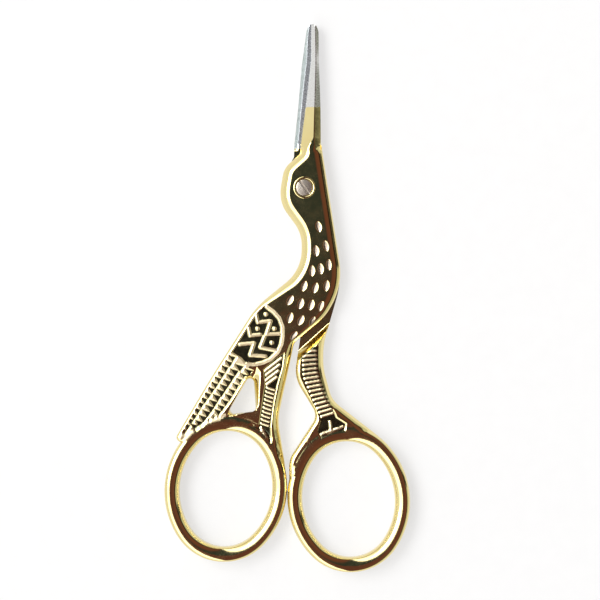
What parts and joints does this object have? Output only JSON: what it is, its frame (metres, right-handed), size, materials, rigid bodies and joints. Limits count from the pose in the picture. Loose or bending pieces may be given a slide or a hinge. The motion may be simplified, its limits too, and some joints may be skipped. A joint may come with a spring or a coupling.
{
  "type": "embroidery scissors",
  "caption": "Stork-shaped embroidery scissors: slim bright blades as the beak, gilded body with feather relief, oval finger rings and a slotted pivot screw.",
  "frame": {"origin": "on the pivot axis, in the plane of the back half's flat outer face, on which the closed scissors lie", "axes": "+Y along the closed blades to their tips, +Z the thickness from the back half to the screw's head, +X to the side of the back half's finger ring"},
  "size_m": [0.0515, 0.115, 0.0045],
  "materials": {
    "gilded_steel": "polished gold plating over forged steel, bright ground steel on the blades past the gilding line",
    "screw_steel": "turned and polished steel with a sawn slot"
  },
  "bodies": {
    "back": {"back_half": "gilded_steel", "pivot_screw": "screw_steel"},
    "front": {"front_half": "gilded_steel"}
  },
  "joints": [
    {"name": "pivot", "type": "hinge", "parent": "back", "child": "front", "pos_m": [0, 0, 0.00222], "axis": [0, 0, -1], "range_deg": [0, 80]}
  ]
}
